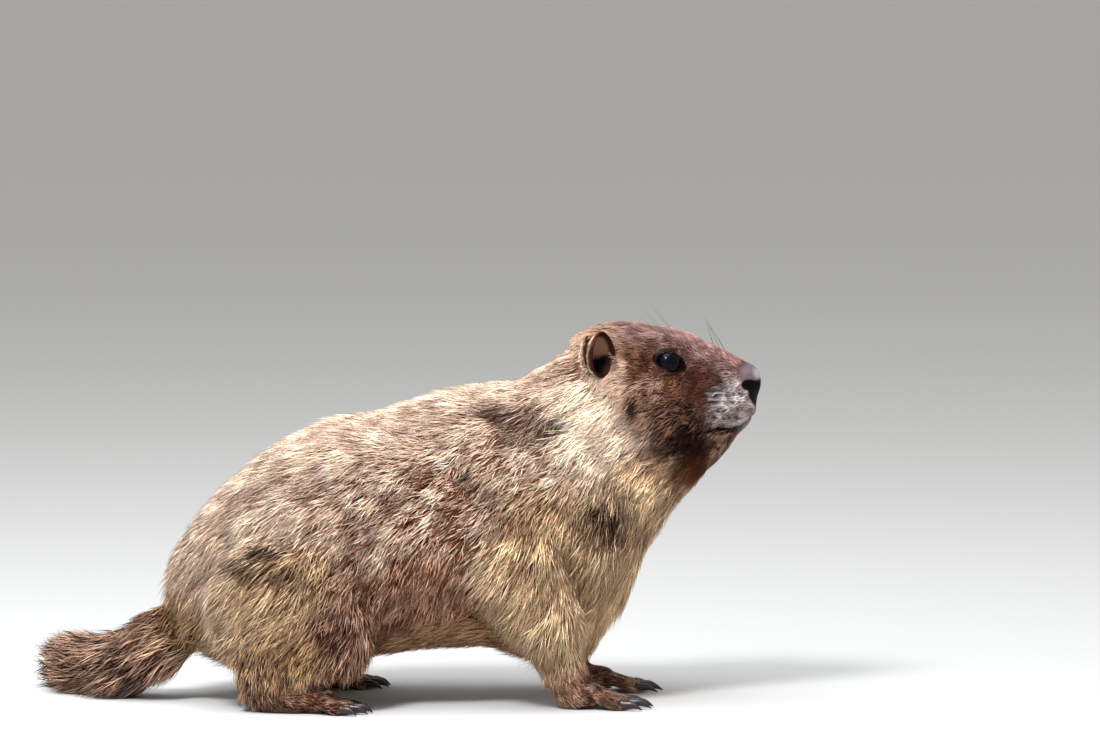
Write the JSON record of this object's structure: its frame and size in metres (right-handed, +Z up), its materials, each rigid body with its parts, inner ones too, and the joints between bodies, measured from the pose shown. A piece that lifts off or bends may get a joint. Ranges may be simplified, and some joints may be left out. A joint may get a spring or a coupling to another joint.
{
  "type": "yellow-bellied marmot",
  "caption": "Life-size still model of a marmot crouched on all fours, head raised, bushy tail laid on the floor behind it.",
  "frame": {"origin": "on the floor, under the middle of the animal's box", "axes": "+X towards the nose, +Y to the animal's left, +Z up"},
  "size_m": [0.428, 0.1918, 0.2239],
  "materials": {
    "coat": "coarse grizzled fur, straw tips over brown",
    "skin": "dark bare skin of nose, lids, lips, ears and soles",
    "claw": "dark horn, slightly glossy",
    "eye": "wet black"
  },
  "bodies": {
    "root": {"fore_leg_left": "coat", "hind_leg_left": "coat", "fore_paw_left": "coat", "hind_paw_left": "coat", "claw_fore_left_1": "claw", "claw_fore_left_2": "claw", "claw_fore_left_3": "claw", "claw_fore_left_4": "claw", "claw_hind_left_1": "claw", "claw_hind_left_2": "claw", "claw_hind_left_3": "claw", "claw_hind_left_4": "claw", "claw_hind_left_5": "claw", "fore_leg_right": "coat", "hind_leg_right": "coat", "fore_paw_right": "coat", "hind_paw_right": "coat", "claw_fore_right_1": "claw", "claw_fore_right_2": "claw", "claw_fore_right_3": "claw", "claw_fore_right_4": "claw", "claw_hind_right_1": "claw", "claw_hind_right_2": "claw", "claw_hind_right_3": "claw", "claw_hind_right_4": "claw", "claw_hind_right_5": "claw", "eye_left": "eye", "ear_left": "skin", "eye_right": "eye", "ear_right": "skin", "head": "coat", "muzzle": "coat", "neck": "coat", "chest": "coat", "abdomen": "coat", "rump": "coat", "tail": "coat"}
  },
  "joints": []
}
